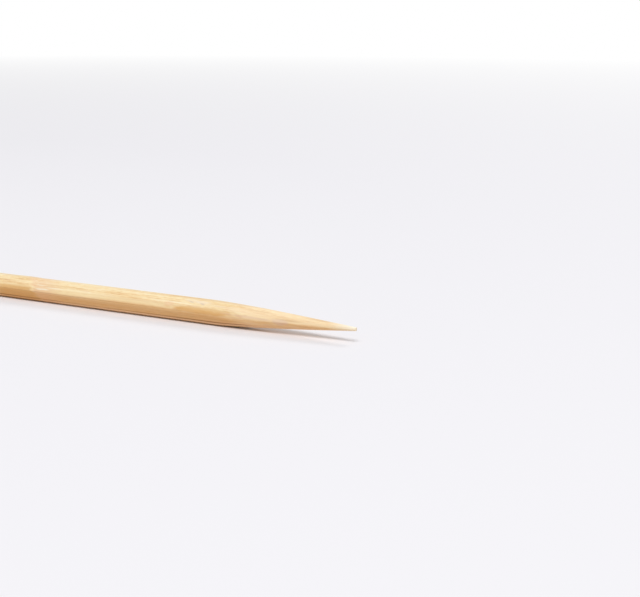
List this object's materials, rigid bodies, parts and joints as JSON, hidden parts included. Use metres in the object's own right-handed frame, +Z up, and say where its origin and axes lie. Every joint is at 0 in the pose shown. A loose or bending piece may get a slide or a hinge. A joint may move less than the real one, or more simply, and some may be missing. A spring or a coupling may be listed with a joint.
{
  "type": "bamboo skewer",
  "caption": "Straight-grained bamboo skewer: a drawn round rod, sawn square at the butt and ground to a long, slightly blunt point.",
  "frame": {"origin": "on the table under the middle of the skewer's box", "axes": "+X along the skewer, from its sawn butt to its point; +Z up from the table it lies on"},
  "size_m": [0.3, 0.003, 0.003],
  "materials": {
    "bamboo": "drawn bamboo, unfinished, satin"
  },
  "bodies": {
    "root": {"skewer": "bamboo"}
  },
  "joints": []
}
